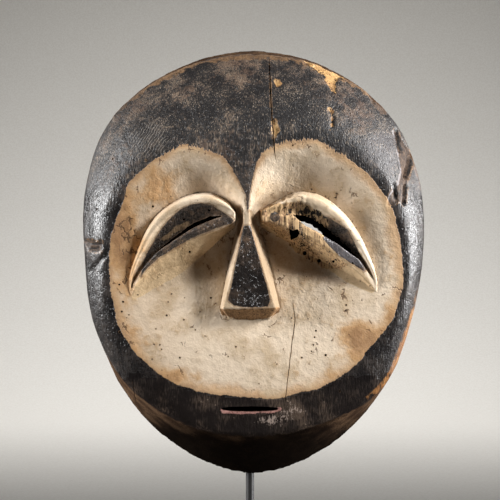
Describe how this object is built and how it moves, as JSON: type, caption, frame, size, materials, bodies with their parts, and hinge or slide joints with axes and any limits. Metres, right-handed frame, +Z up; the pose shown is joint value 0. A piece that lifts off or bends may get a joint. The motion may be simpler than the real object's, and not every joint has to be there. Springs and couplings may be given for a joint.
{
  "type": "carved wooden face mask on a display stand",
  "caption": "Oval carved and painted wooden face mask with a hollow back, pierced crescent eyes and wedge nose, hung on a steel rod stand with a flat foot",
  "frame": {"origin": "middle of the foot's underside, on the surface it stands on", "axes": "+Z up; the face looks along -Y; +X is the viewer's right when facing the mask"},
  "size_m": [0.2653, 0.12, 0.441],
  "materials": {
    "carved_wood": "worn kaolin white and black paint over bare wood",
    "black_steel": "satin black paint"
  },
  "bodies": {
    "root": {"mask": "carved_wood", "stand_rod": "black_steel", "stand_foot": "black_steel"}
  },
  "joints": []
}
